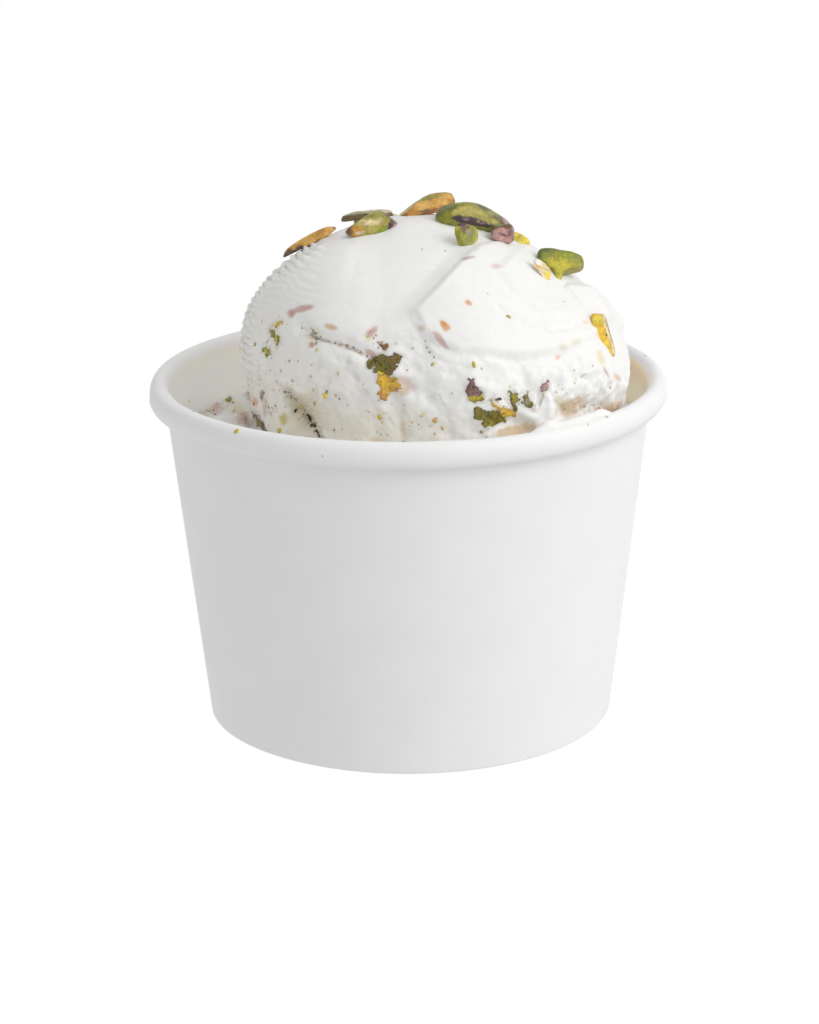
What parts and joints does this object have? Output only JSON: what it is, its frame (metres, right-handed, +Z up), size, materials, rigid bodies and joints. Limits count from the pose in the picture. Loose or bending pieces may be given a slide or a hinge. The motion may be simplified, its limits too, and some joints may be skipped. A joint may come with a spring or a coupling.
{
  "type": "cup of gelato",
  "caption": "Plain paper ice cream cup with a rolled rim and recessed base, filled with a rounded scoop of white gelato topped with pistachio pieces.",
  "frame": {"origin": "middle of the cup's foot, on the surface it stands on", "axes": "+Z up along the cup's axis; -Y towards the torn, nut-flecked face of the scoop; +X to the right as seen from that side"},
  "size_m": [0.076, 0.076, 0.0773],
  "materials": {
    "paper": "satin",
    "gelato": "satin",
    "nut_amber": "satin",
    "nut_olive": "satin",
    "nut_green": "satin",
    "nut_purple": "satin",
    "nut_yellow": "satin",
    "nut_cream": "satin"
  },
  "bodies": {
    "root": {"cup_wall": "paper", "cup_base": "paper", "gelato": "gelato", "pistachio_01": "nut_amber", "pistachio_02": "nut_olive", "pistachio_03": "nut_olive", "pistachio_04": "nut_amber", "pistachio_05": "nut_olive", "pistachio_06": "nut_green", "pistachio_07": "nut_purple", "pistachio_08": "nut_yellow", "pistachio_09": "nut_green", "pistachio_10": "nut_cream", "pistachio_11": "nut_yellow", "pistachio_12": "nut_olive", "pistachio_13": "nut_amber", "pistachio_14": "nut_green"}
  },
  "joints": []
}
